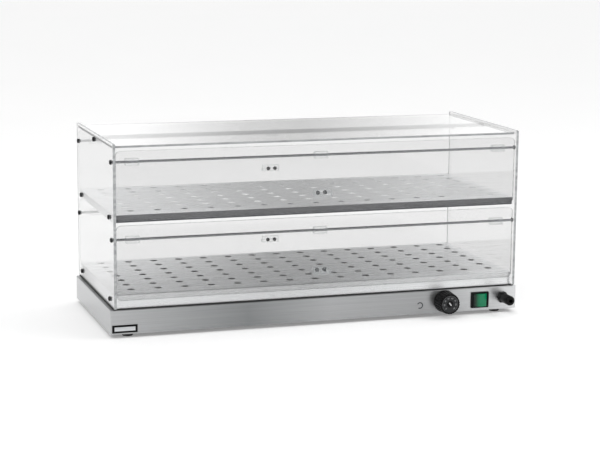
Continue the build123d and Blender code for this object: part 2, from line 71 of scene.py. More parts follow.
camera = bpy.data.objects.new("camera", bpy.data.cameras.new("camera"))
bpy.context.collection.objects.link(camera)
camera.data.lens = LENS_MM
camera.data.clip_end = VIEW_END
camera.matrix_world = (
    Matrix.Translation(CAMERA_PLACE)
    @ Matrix.Rotation(-LOOK_RIGHT, 4, "Z")
    @ Matrix.Rotation(math.pi / 2 - LOOK_DOWN, 4, "X")
    @ Matrix.Rotation(LOOK_ROLL, 4, "Z")
)
bpy.context.scene.camera = camera
bpy.context.scene.view_settings.view_transform = "Standard"
print("camera:", [round(v, 3) for v in camera.location], "lens", LENS_MM)

# %% [markdown]
# Two helpers serve every finish. Colours are written as the sRGB hex values that a paint program
# shows, and Blender wants linear numbers, so one function converts them. The other adds a node to a
# tree: an input that is given as a socket is linked, and any other value is set on the input.


# %% Colour and node helpers
def linear(hex_colour):
    """An sRGB hex colour as the linear RGBA that Blender works in."""
    parts = [int(hex_colour[i:i + 2], 16) / 255 for i in (1, 3, 5)]
    return tuple(c / 12.92 if c <= 0.04045 else ((c + 0.055) / 1.055) ** 2.4 for c in parts) + (1.0,)


def add(tree, kind, inputs=None, **settings):
    """Add a node with its settings, and link or set its inputs."""
    node = tree.nodes.new(kind)
    for name, value in settings.items():
        setattr(node, name, value)
    for name, value in (inputs or {}).items():
        if isinstance(value, bpy.types.NodeSocket):
            tree.links.new(value, node.inputs[name])
        else:
            node.inputs[name].default_value = value
    return node


def new_material(name, base, **constants):
    """A material with one Principled shader, whose constants sit on its own sockets."""
    material = bpy.data.materials.new(name)
    material.use_nodes = True
    tree = material.node_tree
    shader = tree.nodes["Principled BSDF"]
    shader.inputs["Base Color"].default_value = linear(base)
    for socket, value in constants.items():
        shader.inputs[socket.replace("_", " ")].default_value = value
    return material, tree, shader


print("white is", linear("#FFFFFF")[:3], "and mid grey", round(linear("#808080")[0], 3))

# %% [markdown]
# Nearly every finish is a plain shader disturbed by noise. This function does the disturbing: it
# reads the place on the piece, stretches it, and lets the noise move the colour between two tones,
# the roughness between two values, and the height by a depth in metres. The stretch is given as
# three grain sizes, so a brushed metal is long one way and fine the other two. Noise seldom leaves
# the middle of its range, so the tones and the roughness are spread over that span alone.

# %% Grain: noise on colour, roughness and height
NOISE_LOW, NOISE_HIGH = 0.3, 0.7


def paint_ramp(ramp, stops):
    """Give a colour ramp its stops, as (position, tone) in rising order."""
    while len(ramp.elements) < len(stops):
        ramp.elements.new(1.0)
    for stop, (position, tone) in zip(ramp.elements, stops):
        stop.position = position
        stop.color = linear(tone)


def grain(tree, shader, size, tones, rough, depth):
    """Vary a shader by noise whose grains measure size along X, Y and Z, in metres."""
    place = add(tree, "ShaderNodeTexCoord").outputs["Object"]
    spread = add(tree, "ShaderNodeMapping", {"Vector": place, "Scale": [1 / s for s in size]})
    noise = add(tree, "ShaderNodeTexNoise", {
        "Vector": spread.outputs["Vector"], "Scale": 1.0, "Detail": 3.0, "Roughness": 0.55})
    tone = add(tree, "ShaderNodeValToRGB", {"Fac": noise.outputs["Fac"]})
    paint_ramp(tone.color_ramp, [(NOISE_LOW, tones[0]), (NOISE_HIGH, tones[1])])
    tree.links.new(tone.outputs["Color"], shader.inputs["Base Color"])
    dull = add(tree, "ShaderNodeMapRange", {
        "Value": noise.outputs["Fac"], "From Min": NOISE_LOW, "From Max": NOISE_HIGH,
        "To Min": rough[0], "To Max": rough[1]})
    tree.links.new(dull.outputs["Result"], shader.inputs["Roughness"])
    bump = add(tree, "ShaderNodeBump", {
        "Height": noise.outputs["Fac"], "Strength": 1.0, "Distance": depth})
    tree.links.new(bump.outputs["Normal"], shader.inputs["Normal"])


print("grain is spread over noise from", NOISE_LOW, "to", NOISE_HIGH)

# %% [markdown]
# The base and both perforated sheets are brushed stainless steel. A belt leaves scratches that run
# the long way, a few tenths of a millimetre wide and a hand's breadth long. One pixel of the
# picture covers two millimetres, so the scratches are drawn 1.6 mm wide to show at all. Scratches
# also smear each reflection across themselves, which gives such steel its soft upright bands. The
# shader's anisotropy does that: its tangent points across the scratches, up on a wall and to the
# back on a sheet that lies flat.

# %% Brushed stainless steel
SCRATCH = (160 * MM, 1.6 * MM, 1.6 * MM)
SCRATCH_DEPTH = 0.003 * MM
ACROSS = (0.0, 0.3, 1.0)


def smear_across(tree, shader):
    """Point the shader's tangent across the scratches."""
    across = add(tree, "ShaderNodeCombineXYZ", dict(zip("XYZ", ACROSS)))
    tree.links.new(across.outputs["Vector"], shader.inputs["Tangent"])


steel, tree, shader = new_material("brushed_stainless_steel", "#E2E3E4", Metallic=1.0, Anisotropic=0.93)
grain(tree, shader, SCRATCH, ("#DFE0E1", "#E5E6E7"), (0.25, 0.31), SCRATCH_DEPTH)
smear_across(tree, shader)
print("steel:", len(tree.nodes), "nodes")

# %% [markdown]
# The base is folded from a duller sheet. Its colour carries a painted reflection: broad bands along
# the length, darker a third of the way along, stand in for the room that its front mirrors. A ramp
# along X paints them, with its stops in metres, and its tones are multiplied with those of the
# scratches, which stay near white here.

# %% Dull brushed stainless steel with painted reflection bands
# Painted reflection: tones along X that stand in for the room mirrored by the base's front.
PAINTED_REFLECTION = (
    (-0.43, "#BFC0C1"), (-0.15, "#8E9091"), (0.02, "#B4B5B6"), (0.22, "#A9AAAB"), (0.42, "#DCDDDE"))
PAINTED_REFLECTION_START, PAINTED_REFLECTION_END = PAINTED_REFLECTION[0][0], PAINTED_REFLECTION[-1][0]

base_steel, tree, shader = new_material(
    "dull_brushed_steel_painted_reflections", "#B4B5B6", Metallic=1.0, Anisotropic=0.6)
grain(tree, shader, SCRATCH, ("#F0F0F0", "#FFFFFF"), (0.30, 0.36), SCRATCH_DEPTH)
along = add(tree, "ShaderNodeSeparateXYZ", {
    "Vector": add(tree, "ShaderNodeTexCoord").outputs["Object"]})
share = add(tree, "ShaderNodeMapRange", {
    "Value": along.outputs["X"], "From Min": PAINTED_REFLECTION_START, "From Max": PAINTED_REFLECTION_END})
painted_reflection_ramp = add(tree, "ShaderNodeValToRGB", {"Fac": share.outputs["Result"]})
paint_ramp(painted_reflection_ramp.color_ramp, [((x - PAINTED_REFLECTION_START) / (PAINTED_REFLECTION_END - PAINTED_REFLECTION_START), tone) for x, tone in PAINTED_REFLECTION])
streaks = shader.inputs["Base Color"].links[0].from_socket
toned = add(tree, "ShaderNodeMix", {
    "Factor": 1.0, "A": painted_reflection_ramp.outputs["Color"], "B": streaks},
    data_type="RGBA", blend_type="MULTIPLY")
tree.links.new(toned.outputs["Result"], shader.inputs["Base Color"])
smear_across(tree, shader)
print("base steel:", len(tree.nodes), "nodes")

# %% [markdown]
# The rods are round bar of the same steel: the tie rod is ground, and the four hinge rods, on which
# the doors turn, are polished. A thin round bar mirrors the whole room in one narrow line, so it reads
# darker than the sheet: that dark reflection is painted into their colour, and their marks run round
# them. The polished one is painted the brighter of the two.

# %% Ground and polished stainless bar
ROUND_MARKS = (0.8 * MM, 4 * MM, 4 * MM)

# Both bar colours are painted dark, as the reflection of a thin round bar.
bar, tree, shader = new_material("ground_stainless_bar", "#5C5E61", Metallic=1.0)
grain(tree, shader, ROUND_MARKS, ("#525457", "#686A6D"), (0.2, 0.32), 0.01 * MM)

hinge_bar, tree, shader = new_material("polished_stainless_bar", "#8E9093", Metallic=1.0)
grain(tree, shader, ROUND_MARKS, ("#838588", "#9A9C9F"), (0.16, 0.26), 0.01 * MM)
print("bars:", bar.name, hinge_bar.name)

# %% [markdown]
# The panels are cast acrylic, PMMA, with an index of refraction of 1.49. It is clearer than window
# glass and has no green edge. Light has to reach the sheets inside, so a shadow ray passes the
# panels as if they were a thin grey film, and every other ray meets the true refracting shell.

# %% Clear cast acrylic
ACRYLIC_IOR = 1.49

acrylic, tree, shader = new_material(
    "clear_cast_acrylic", "#F0F0F0", Roughness=0.0, IOR=ACRYLIC_IOR, Transmission_Weight=1.0)
film = add(tree, "ShaderNodeBsdfTransparent", {"Color": linear("#F3F3F3")})
shadow = add(tree, "ShaderNodeLightPath").outputs["Is Shadow Ray"]
blend = add(tree, "ShaderNodeMixShader", {0: shadow, 1: shader.outputs["BSDF"], 2: film.outputs["BSDF"]})
tree.links.new(blend.outputs["Shader"], tree.nodes["Material Output"].inputs["Surface"])
print("acrylic IOR:", shader.inputs["IOR"].default_value)

# %% [markdown]
# Two more finishes belong to the same plastic. A sawn and flame-polished edge scatters the light
# that the sheet gathers, so it shows as a pale grey line. The small blocks and pulls are bonded
# to the doors with no air between, so nothing bends at the joint: they are drawn as a faint grey
# veil that thickens where it is seen edge on.

# %% Polished edges and bonded blocks
VEIL_FACE_ON, VEIL_EDGE_ON = 0.07, 0.5

edge_grey, tree, shader = new_material("flame_polished_acrylic_edge", "#A4A6A7", IOR=ACRYLIC_IOR)
grain(tree, shader, (30 * MM, 30 * MM, 6 * MM), ("#929495", "#B6B8B9"), (0.2, 0.35), 0.0)

bonded, tree, shader = new_material("bonded_clear_acrylic", "#C3C9CB", IOR=ACRYLIC_IOR)
grain(tree, shader, (8 * MM,) * 3, ("#B9BFC1", "#CFD4D6"), (0.04, 0.12), 0.0)
veil = add(tree, "ShaderNodeMapRange", {
    "Value": add(tree, "ShaderNodeLayerWeight", {"Blend": 0.3}).outputs["Facing"],
    "To Min": VEIL_FACE_ON, "To Max": VEIL_EDGE_ON})
tree.links.new(veil.outputs["Result"], shader.inputs["Alpha"])
print("edge and block finishes:", edge_grey.name, bonded.name)

# %% [markdown]
# The black parts have five different finishes, which differ more in gloss and grain than in colour:
# black oxide on the screws is a thin dark skin on steel, the feet and the seal are EPDM rubber with
# a dusty bloom, the gland and the bezel are moulded nylon with a fine spark-eroded texture, the knob
# is phenolic, the hard glossy plastic of old kitchen dials, and the dial on it is a satin film.

# %% Black finishes
oxide, tree, shader = new_material("black_oxide_steel", "#161617", Metallic=0.4)
grain(tree, shader, (0.6 * MM,) * 3, ("#101011", "#1E1E20"), (0.36, 0.5), 0.01 * MM)

rubber, tree, shader = new_material("epdm_rubber", "#191919")
grain(tree, shader, (2.5 * MM,) * 3, ("#131313", "#222222"), (0.65, 0.85), 0.03 * MM)

nylon, tree, shader = new_material("moulded_black_nylon", "#0A0A0B", Specular_IOR_Level=0.15)
grain(tree, shader, (0.9 * MM,) * 3, ("#060607", "#101011"), (0.34, 0.48), 0.01 * MM)

phenolic, tree, shader = new_material("black_phenolic", "#09090A", Specular_IOR_Level=0.12)
grain(tree, shader, (1.2 * MM,) * 3, ("#060607", "#0E0E0F"), (0.26, 0.38), 0.01 * MM)

dial_skin, tree, shader = new_material("satin_black_dial", "#2C2D2E", Specular_IOR_Level=0.2)
grain(tree, shader, (1.5 * MM,) * 3, ("#272829", "#323334"), (0.42, 0.58), 0.01 * MM)
print("black finishes:", [m.name for m in (oxide, rubber, nylon, phenolic, dial_skin)])

# %% [markdown]
# The rocker's lens is green polycarbonate with a lamp behind it. Its inner face is moulded in
# upright ribs that spread the light, 2.6 mm apart. A wave along X draws green stripes for them,
# which are partly that rib pattern and partly painted highlight bands: at a scale of one it has ten
# bands in pi metres. The lamp sits behind the middle, and the end that is pressed in sits in the
# bezel's shade: a ramp along X darkens it, as painted shade in the colour and as less glow from the
# lamp, and a little emission stands for the lamp.

# %% Green polycarbonate
RIB_PITCH = 2.6 * MM
DARK_END = 2 * MM
LAMP_GLOW = 0.08
BANDS_PER_METRE = 10 / math.pi

lens_low, lens_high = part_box("rocker_button")
green, tree, shader = new_material(
    "green_polycarbonate", "#0A6E48", Roughness=0.14, IOR=1.58, Specular_IOR_Level=0.3,
    Emission_Strength=LAMP_GLOW)
place = add(tree, "ShaderNodeTexCoord").outputs["Object"]
ribs = add(tree, "ShaderNodeTexWave", {
    "Vector": place, "Scale": 1 / (RIB_PITCH * BANDS_PER_METRE), "Distortion": 0.0},
    wave_type="BANDS", bands_direction="X")
# The stripes are partly the rib pattern and partly painted highlight bands.
rib_and_highlight_stripes = add(tree, "ShaderNodeValToRGB", {"Fac": ribs.outputs["Fac"]})
paint_ramp(rib_and_highlight_stripes.color_ramp, [(0.0, "#065C3E"), (1.0, "#0E8A5C")])
along = add(tree, "ShaderNodeSeparateXYZ", {"Vector": place})
# Painted shade: the pressed-in end's colour darkens towards the bezel, and the lamp's glow with it.
glow_and_painted_shade = add(tree, "ShaderNodeMapRange", {
    "Value": along.outputs["X"], "From Min": lens_low.x + DARK_END,
    "From Max": (lens_low.x + lens_high.x) / 2, "To Min": 0.0, "To Max": 1.0},
    interpolation_type="SMOOTHSTEP")
lit = add(tree, "ShaderNodeMix", {
    "Factor": glow_and_painted_shade.outputs["Result"], "A": linear("#03160F"), "B": rib_and_highlight_stripes.outputs["Color"]},
    data_type="RGBA")
tree.links.new(lit.outputs["Result"], shader.inputs["Base Color"])
tree.links.new(lit.outputs["Result"], shader.inputs["Emission Color"])
print("lens ribs every", RIB_PITCH / MM, "mm")

# %% [markdown]
# What is left sits inside the base or is small: zinc plating on nuts, the copper capillary, the
# satin aluminium of the bare plate, a near-black metal that paints shade on the reflector, the
# bottom cover and the undersides of the sheets, a dark grey that paints shade on the shelf's edge
# strips, the heating element's oxidised sheath, the pale plastic of the controls, and three inks:
# white on the pointer, a worn white on the dial and a grey on the steel.

# %% The other finishes
zinc, tree, shader = new_material("zinc_plated_steel", "#A9ACB0", Metallic=1.0)
grain(tree, shader, (3 * MM,) * 3, ("#9C9FA4", "#B7BABD"), (0.3, 0.46), 0.01 * MM)

copper, tree, shader = new_material("drawn_copper", "#B4694A", Metallic=1.0)
grain(tree, shader, (20 * MM, 3 * MM, 3 * MM), ("#9C5639", "#C2795A"), (0.28, 0.44), 0.01 * MM)

aluminium, tree, shader = new_material("satin_anodised_aluminium", "#C9CBCD", Metallic=1.0)
grain(tree, shader, (60 * MM, 3 * MM, 3 * MM), ("#BFC1C4", "#D3D5D7"), (0.26, 0.4), 0.01 * MM)

# Near-black metal as painted shade: on the reflector, the bottom cover, and the undersides and hole walls of
# the sheets.
painted_shade_metal, tree, shader = new_material("painted_shade_dark_metal", "#141414", Metallic=0.5, Specular_IOR_Level=0.2)
grain(tree, shader, (80 * MM, 40 * MM, 40 * MM), ("#0F0F0F", "#1B1A1A"), (0.5, 0.7), 0.01 * MM)

# Dark grey that paints shade on the front and rear of the shelf's folded edges.
shade_strip_grey, tree, shader = new_material("dark_grey_painted_shade", "#55575A")
grain(tree, shader, (40 * MM, 2 * MM, 2 * MM), ("#505255", "#5C5E61"), (0.35, 0.45), 0.005 * MM)

sheath, tree, shader = new_material("oxidised_alloy_sheath", "#4C4A44", Metallic=0.8)
grain(tree, shader, (8 * MM,) * 3, ("#3E3C38", "#5E5A50"), (0.45, 0.65), 0.02 * MM)

pale_plastic, tree, shader = new_material("ivory_polyamide", "#D8D3C4")
grain(tree, shader, (1.5 * MM,) * 3, ("#CFC9B8", "#E0DCCF"), (0.4, 0.52), 0.01 * MM)

ink, tree, shader = new_material("white_print_ink", "#C9CACB")
grain(tree, shader, (0.8 * MM,) * 3, ("#BABBBC", "#D4D5D6"), (0.5, 0.7), 0.005 * MM)

faded_ink, tree, shader = new_material("faded_print_ink", "#8C8D8F")
grain(tree, shader, (0.8 * MM,) * 3, ("#7E7F81", "#9A9B9D"), (0.5, 0.7), 0.005 * MM)

grey_ink, tree, shader = new_material("grey_print_ink", "#404244")
grain(tree, shader, (0.8 * MM,) * 3, ("#383A3C", "#4A4C4E"), (0.5, 0.7), 0.005 * MM)
print("materials:", len(bpy.data.materials))

# %% [markdown]
# The record says which material slot each solid belongs to, so one table from slot to finish
# dresses all of them, and a few nodes have a finish of their own. The meshes stay untouched: a
# finish only goes into the object's material slot.

# %% Dress the solids
SLOT_FINISH = {
    "stainless_steel": steel, "clear_acrylic": acrylic, "black_screws": oxide, "zinc_steel": zinc,
    "black_rubber": rubber, "black_plastic": nylon, "control_plastic": pale_plastic,
    "green_lens": green, "copper": copper, "aluminium": aluminium}
# The reflector and the bottom cover are painted near black as shade.
OWN_FINISH = {"tie_rod": bar, "heating_element": sheath, "thermostat_knob": phenolic,
              "heat_reflector": painted_shade_metal, "bottom_cover": painted_shade_metal, "base_housing": base_steel}
OWN_FINISH.update({name: hinge_bar for name in nodes if name.endswith("_hinge_rod")})
OWN_FINISH.update({name: bonded for name in nodes if name.endswith(("_hinge_blocks", "_handle"))})

slot_of = {part["node"]: part["material_slot"] for part in frame["record"]["subparts"]}
for name, node in nodes.items():
    node.data.materials.clear()
    node.data.materials.append(OWN_FINISH.get(name, SLOT_FINISH[slot_of[name]]))
print("dressed:", len(slot_of), "nodes in", len(set(slot_of.values())), "slots")

# %% [markdown]
# New pieces need three things again and again: an object made from a mesh builder, its finish and
# the body it rides on, and smooth shading that keeps the real edges crisp. The object itself stays
# at the origin, with its place in its mesh.

# %% Piece helpers
CRISP_ANGLE = math.radians(32)


def finish_piece(piece, finish, body, slot, *replaced):
    """Shade, colour and fasten a piece, and hide the solids it stands for."""
    mesh = piece.data
    mesh.polygons.foreach_set("use_smooth", [True] * len(mesh.polygons))
    mesh.set_sharp_from_angle(angle=CRISP_ANGLE)
    if finish:
        mesh.materials.clear()
        mesh.materials.append(finish)
    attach(piece, body)
    if replaced:
        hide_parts(*replaced)
    print(piece.name, "on", body, "with", len(mesh.polygons), "faces")
    return piece


def object_from(name, builder, place=None):
    """Turn a bmesh into an object at the origin, after moving its mesh by a matrix."""
    builder.transform(place or Matrix.Identity(4))
    mesh = bpy.data.meshes.new(name)
    builder.to_mesh(mesh)
    builder.free()
    piece = bpy.data.objects.new(name, mesh)
    bpy.context.collection.objects.link(piece)
    return piece


def facing_front(x, y, z):
    """A matrix that turns local Z to the front, along -Y, at a place."""
    return Matrix.Translation((x, y, z)) @ Matrix.Rotation(math.pi / 2, 4, "X")


print("edges sharper than", round(math.degrees(CRISP_ANGLE)), "degrees stay crisp")

# %% [markdown]
# Turned parts are lathed. A ring is a height and a radius, and the radius may be a rule that gives
# one for each angle, so the same lathe makes a plain round, a hexagon socket or a fluted grip. Rings
# are joined one to the next, and the ends are capped, or joined to each other where a bore runs
# right through.


# %% The lathe
def hexagon(inner_radius):
    """The radius of a hexagon, given by the circle that fits inside it."""
    sector = math.pi / 3
    return lambda angle: inner_radius / math.cos((angle + sector / 2) % sector - sector / 2)


def lathe(rings, segments, through=False):
    """A closed shell through rings of (height, radius), where a radius may be a rule by angle."""
    shell = bmesh.new()
    angles = [2 * math.pi * i / segments for i in range(segments)]
    loops = []
    for height, radius in rings:
        reach = [radius(a) if callable(radius) else radius for a in angles]
        loops.append([shell.verts.new((r * math.cos(a), r * math.sin(a), height))
                      for r, a in zip(reach, angles)])
    if through:
        loops.append(loops[0])
    for lower, upper in zip(loops, loops[1:]):
        for i in range(segments):
            j = (i + 1) % segments
            shell.faces.new((lower[i], lower[j], upper[j], upper[i]))
    if not through:
        shell.faces.new(loops[0][::-1])
        shell.faces.new(loops[-1])
    bmesh.ops.recalc_face_normals(shell, faces=shell.faces)
    return shell


print("a hexagon's corner lies", round(hexagon(1.0)(math.pi / 6), 3), "times as far out as its flats")

# %% [markdown]
# Geometry Nodes make what repeats. Every tree here is built by the same two helpers: one makes an
# empty tree with named inputs, the other runs it, sets the inputs by their identifiers, keeps the
# result as a plain mesh and takes the modifier off again.


# %% Tree helpers
def new_tree(name, **inputs):
    """An empty geometry tree with named inputs. Returns the tree and its input sockets by name."""
    tree = bpy.data.node_groups.new(name, "GeometryNodeTree")
    tree.interface.new_socket("Geometry", in_out="INPUT", socket_type="NodeSocketGeometry")
    for label, kind in inputs.items():
        tree.interface.new_socket(label, in_out="INPUT", socket_type="NodeSocket" + kind)
    tree.interface.new_socket("Geometry", in_out="OUTPUT", socket_type="NodeSocketGeometry")
    return tree, tree.nodes.new("NodeGroupInput").outputs


def end_tree(tree, geometry, material):
    """Realize what the tree made, give it its material and send it out."""
    solid = add(tree, "GeometryNodeRealizeInstances", {"Geometry": geometry})
    painted = add(tree, "GeometryNodeSetMaterial", {
        "Geometry": solid.outputs[0], "Material": material})
    add(tree, "NodeGroupOutput", {"Geometry": painted.outputs[0]})


def run_tree(name, tree, mesh, **values):
    """Run a tree on a mesh and keep the result as a plain mesh object."""
    piece = bpy.data.objects.new(name, mesh or bpy.data.meshes.new(name))
    bpy.context.collection.objects.link(piece)
    modifier = piece.modifiers.new(name, "NODES")
    modifier.node_group = tree
    for item in tree.interface.items_tree:
        if item.in_out == "INPUT" and item.name in values:
            modifier[item.identifier] = values[item.name]
    depsgraph = bpy.context.evaluated_depsgraph_get()
    made = bpy.data.meshes.new_from_object(piece.evaluated_get(depsgraph))
    piece.modifiers.remove(modifier)
    piece.data = made
    return piece


print("geometry trees so far:", len(bpy.data.node_groups))

# %% [markdown]
# The platform and the shelf are perforated sheets with folded edges. Punching a grid is a rule, so
# a tree does it: a rectangle and a grid of circles are curves, and filling the curves leaves the
# circles open. Extruding the fill down by the sheet's thickness gives the walls of the holes, and
# points that fall together are welded.

# %% The tree that punches a sheet
WELD = 0.01 * MM

punch, given = new_tree(
    "punched_sheet", Width="Float", Depth="Float", Thickness="Float", Radius="Float", Sides="Int",
    Columns="Int", Rows="Int", GridWidth="Float", GridDepth="Float", Shift="Vector", Material="Material")
outline = add(punch, "GeometryNodeCurvePrimitiveQuadrilateral", {
    "Width": given["Width"], "Height": given["Depth"]})
spots = add(punch, "GeometryNodeMeshGrid", {
    "Size X": given["GridWidth"], "Size Y": given["GridDepth"],
    "Vertices X": given["Columns"], "Vertices Y": given["Rows"]})
shifted = add(punch, "GeometryNodeTransform", {
    "Geometry": spots.outputs["Mesh"], "Translation": given["Shift"]})
circle = add(punch, "GeometryNodeCurvePrimitiveCircle", {
    "Resolution": given["Sides"], "Radius": given["Radius"]})
circles = add(punch, "GeometryNodeInstanceOnPoints", {
    "Points": shifted.outputs["Geometry"], "Instance": circle.outputs["Curve"]})
loose = add(punch, "GeometryNodeRealizeInstances", {"Geometry": circles.outputs["Instances"]})
curves = add(punch, "GeometryNodeJoinGeometry", {"Geometry": outline.outputs["Curve"]})
punch.links.new(loose.outputs["Geometry"], curves.inputs["Geometry"])
top_face = add(punch, "GeometryNodeFillCurve", {"Curve": curves.outputs["Geometry"]})
down = add(punch, "ShaderNodeCombineXYZ", {
    "Z": add(punch, "ShaderNodeMath", {0: given["Thickness"], 1: -1.0}, operation="MULTIPLY").outputs[0]})
walls = add(punch, "GeometryNodeExtrudeMesh", {
    "Mesh": top_face.outputs["Mesh"], "Offset": down.outputs["Vector"], "Offset Scale": 1.0,
    "Individual": False})
both = add(punch, "GeometryNodeJoinGeometry", {"Geometry": top_face.outputs["Mesh"]})
punch.links.new(walls.outputs["Mesh"], both.inputs["Geometry"])
welded = add(punch, "GeometryNodeMergeByDistance", {
    "Geometry": both.outputs["Geometry"], "Distance": WELD})
end_tree(punch, welded.outputs["Geometry"], given["Material"])
print("punched_sheet:", len(punch.nodes), "nodes")

# %% [markdown]
# The folded edge is a stack of rounded rectangles. Each ring follows the sheet's own section: over
# the bend, down the flange, back up inside and over the bend again. At the start of the bend the
# corner's radius is zero, so its points fall together and are merged, and the ring then has the
# same four corners as the punched sheet.

# %% The folded edge
SHEET = 1.0 * MM
FOLD_RADIUS = 2.0 * MM
BEND_STEPS = 5
CORNER_STEPS = 5


def rounded_ring(edge, half_width, half_depth, radius, height):
    """One rounded rectangle of points, with its corner centres at the given half sizes."""
    points = []
    for side_x, side_y, quarter in ((1, 1, 0), (-1, 1, 1), (-1, -1, 2), (1, -1, 3)):
        for step in range(CORNER_STEPS + 1):
            turn = (quarter + step / CORNER_STEPS) * math.pi / 2
            points.append(edge.verts.new((
                side_x * half_width + radius * math.cos(turn),
                side_y * half_depth + radius * math.sin(turn), height)))
    return points


def folded_edge(half_width, half_depth, flange):
    """The bend and flange round a sheet whose flat part has these half sizes, its top at Z = 0."""
    bend = [step / BEND_STEPS * math.pi / 2 for step in range(BEND_STEPS + 1)]
    inside = FOLD_RADIUS - SHEET
    path = [(FOLD_RADIUS * math.sin(t), FOLD_RADIUS * math.cos(t) - FOLD_RADIUS) for t in bend]
    path += [(FOLD_RADIUS, -flange), (inside, -flange)]
    path += [(inside * math.sin(t), inside * math.cos(t) - FOLD_RADIUS) for t in reversed(bend)]
    edge = bmesh.new()
    rings = [rounded_ring(edge, half_width, half_depth, out, height) for out, height in path]
    for first, second in zip(rings, rings[1:]):
        for i in range(len(first)):
            j = (i + 1) % len(first)
            edge.faces.new((first[i], second[i], second[j], first[j]))
    return edge


print("sheet", SHEET / MM, "mm thick, folded to a radius of", FOLD_RADIUS / MM, "mm outside")

# %% [markdown]
# Joined, the punched sheet and its folded edge make one piece. The extrusion also left a wall round
# the sheet's outer rim, which is buried once the edge is on, so those faces are taken away before
# the two are welded. The underside, the inside of the flange and the walls of the holes get a
# near-black metal as painted shade, which is why the holes look black.

# %% Platform and shelf
HOLE_RADIUS = 7.5 * MM
HOLE_SIDES = 32
HOLE_PITCH = (54 * MM, 43.7 * MM)
HOLE_COUNT = (15, 7)
HOLE_SHIFT = (4 * MM, 10 * MM, 0.0)
STEEP = 0.5


def faces_into_shade(face, half_width, half_depth):
    """Whether a face of a tray looks down, inward or into a hole. The tray's top lies at Z = 0."""
    centre, normal = face.calc_center_median(), face.normal
    in_flat = abs(centre.x) < half_width and abs(centre.y) < half_depth
    return normal.z < -STEEP or (in_flat and normal.z < STEEP) or (
        centre.z < -SHEET / 2 and centre.xy.dot(normal.xy) < 0)


def perforated_tray(name, node):
    """Make one tray where its solid stands."""
    low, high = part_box(node)
    middle = (low + high) / 2
    half_width = (high.x - low.x) / 2 - FOLD_RADIUS
    half_depth = (high.y - low.y) / 2 - FOLD_RADIUS
    sheet = run_tree(
        name, punch, None, Width=2 * half_width, Depth=2 * half_depth, Thickness=SHEET,
        Radius=HOLE_RADIUS, Sides=HOLE_SIDES, Columns=HOLE_COUNT[0], Rows=HOLE_COUNT[1],
        GridWidth=HOLE_PITCH[0] * (HOLE_COUNT[0] - 1), GridDepth=HOLE_PITCH[1] * (HOLE_COUNT[1] - 1),
        Shift=HOLE_SHIFT, Material=steel)
    tray = bmesh.new()
    tray.from_mesh(sheet.data)
    buried = [f for f in tray.faces if abs(f.normal.z) < STEEP
              and (all(abs(abs(v.co.x) - half_width) < WELD for v in f.verts)
                   or all(abs(abs(v.co.y) - half_depth) < WELD for v in f.verts))]
    bmesh.ops.delete(tray, geom=buried, context="FACES")
    edge = folded_edge(half_width, half_depth, high.z - low.z)
    spare = bpy.data.meshes.new("edge")
    edge.to_mesh(spare)
    edge.free()
    tray.from_mesh(spare)
    bpy.data.meshes.remove(spare)
    bmesh.ops.remove_doubles(tray, verts=tray.verts, dist=WELD)
    bmesh.ops.recalc_face_normals(tray, faces=tray.faces)
    # Faces that look down, inward or into a hole get the painted shade.
    for face in tray.faces:
        face.material_index = 1 if faces_into_shade(face, half_width, half_depth) else 0
    tray.transform(Matrix.Translation((middle.x, middle.y, high.z)))
    tray.to_mesh(sheet.data)
    tray.free()
    sheet.data.materials.clear()
    sheet.data.materials.append(steel)
    sheet.data.materials.append(painted_shade_metal)
    return finish_piece(sheet, None, "root", "stainless_steel", node)


perforated_tray("platform_sheet", "platform")
perforated_tray("shelf_sheet", "shelf")

# %% [markdown]
# The screws that show are all of one kind, a low domed head with a hexagon socket, and those of the
# handles are three quarters as large. One head is lathed, and a tree sets a copy on every point.
# Each point carries the direction its head faces, and a seeded random turn about that direction
# keeps the sockets from lining up like soldiers.

# %% One screw head
HEAD_RADIUS = 4.75 * MM
HEAD_HEIGHT = 3.2 * MM
SOCKET = 1.7 * MM
HEAD_SEGMENTS = 24


def screw_head(radius, height):
    """A domed head that stands on Z = 0, with its hexagon socket."""
    dome = [(height * math.sin(t), radius * (0.42 + 0.58 * math.cos(t)))
            for t in (0.35, 0.75, 1.15, 1.5)]
    rings = [(0.0, radius * 0.97)] + dome
    rings += [(height, hexagon(SOCKET)), (height * 0.3, hexagon(SOCKET)),
              (height * 0.2, SOCKET * 0.4)]
    return lathe(rings, HEAD_SEGMENTS)


head = object_from("screw_head", screw_head(HEAD_RADIUS, HEAD_HEIGHT))
head.data.polygons.foreach_set("use_smooth", [True] * len(head.data.polygons))
print("screw head:", len(head.data.polygons), "faces")

# %% The tree that sets screws
set_screws, given = new_tree(
    "set_screws", Screw="Object", Size="Float", Seed="Int", Material="Material")
shape = add(set_screws, "GeometryNodeObjectInfo", {"Object": given["Screw"]})
aim = add(set_screws, "GeometryNodeInputNamedAttribute", {"Name": "aim"}, data_type="FLOAT_VECTOR")
turned = add(set_screws, "FunctionNodeAlignRotationToVector", {
    "Vector": aim.outputs["Attribute"]}, axis="Z")
chance = add(set_screws, "FunctionNodeRandomValue", {
    "Seed": given["Seed"], 2: 0.0, 3: math.pi / 3}, data_type="FLOAT")
spin = add(set_screws, "FunctionNodeAxisAngleToRotation", {
    "Axis": (0, 0, 1), "Angle": chance.outputs[1]})
spun = add(set_screws, "FunctionNodeRotateRotation", {
    "Rotation": turned.outputs["Rotation"], "Rotate By": spin.outputs["Rotation"]}, rotation_space="LOCAL")
copies = add(set_screws, "GeometryNodeInstanceOnPoints", {
    "Points": given["Geometry"], "Instance": shape.outputs["Geometry"],
    "Rotation": spun.outputs["Rotation"], "Scale": given["Size"]})
end_tree(set_screws, copies.outputs["Instances"], given["Material"])
print("set_screws:", len(set_screws.nodes), "nodes")

